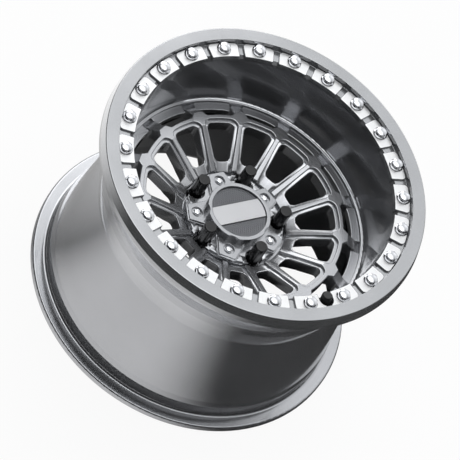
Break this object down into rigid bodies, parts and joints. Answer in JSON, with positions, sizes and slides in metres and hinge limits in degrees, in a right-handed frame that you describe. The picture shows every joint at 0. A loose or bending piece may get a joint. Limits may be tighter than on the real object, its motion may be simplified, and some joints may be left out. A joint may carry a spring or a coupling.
{
  "type": "beadlock wheel",
  "caption": "Deep-dish forged off-road beadlock wheel with slim spokes, a bolted clamp ring, splined lug nuts, a screwed centre cap and a tyre valve.",
  "frame": {"origin": "centre of the hub bore on the mounting pad face", "axes": "+Z along the axle towards the outside of the vehicle; a lug nut and the valve lie on -Y; the wheel lies on its inboard flange, face up"},
  "size_m": [0.4172, 0.4172, 0.2754],
  "materials": {
    "wheel_satin": "satin grey coat over forged alloy",
    "ring_satin": "satin grey coat with bare machined pads",
    "bright_zinc": "bright plated",
    "cap_satin": "satin grey coat",
    "cap_dark": "dimpled dark grey",
    "cap_light": "satin light grey",
    "black_steel": "gloss black",
    "black_rubber": "matt",
    "stem_brass": "plain",
    "black_plastic": "moulded black",
    "white_seal": "plain",
    "spring_steel": "bright wire"
  },
  "bodies": {
    "wheel_body": {"wheel": "wheel_satin", "beadlock_ring": "ring_satin", "beadlock_bolts": "bright_zinc", "centre_cap": "cap_satin", "cap_disc": "cap_dark", "cap_bar": "cap_light", "cap_screws": "bright_zinc", "lug_nuts": "black_steel", "valve_body": "black_rubber", "valve_stem": "stem_brass", "core_plug": "stem_brass", "core_gasket": "white_seal", "core_barrel": "stem_brass", "core_spring": "spring_steel"},
    "core_pin_body": {"core_pin": "stem_brass", "core_cup": "stem_brass", "core_seal": "black_rubber"},
    "cap_washer": {"valve_cap_seal": "black_rubber"},
    "cap_body": {"valve_cap": "black_plastic"}
  },
  "joints": [
    {"name": "core_press", "type": "slide", "parent": "wheel_body", "child": "core_pin_body", "axis": [0, -0.1736, -0.9848], "range_m": [0, 0.001], "stiffness_N_per_m": 2500, "springref_m": -0.001, "deforming": ["core_spring"]},
    {"name": "valve_cap_lift", "type": "slide", "parent": "wheel_body", "child": "cap_washer", "axis": [0, 0.1736, 0.9848], "range_m": [0, 0.0104]},
    {"name": "valve_cap_turn", "type": "hinge", "parent": "cap_washer", "child": "cap_body", "pos_m": [0, -0.1787, 0.112], "axis": [0, 0.1736, 0.9848], "range_deg": [0, 4680]}
  ],
  "couplings": [
    {"joint": "valve_cap_lift", "follows": "valve_cap_turn", "m_per_rad": 0.00012634}
  ]
}
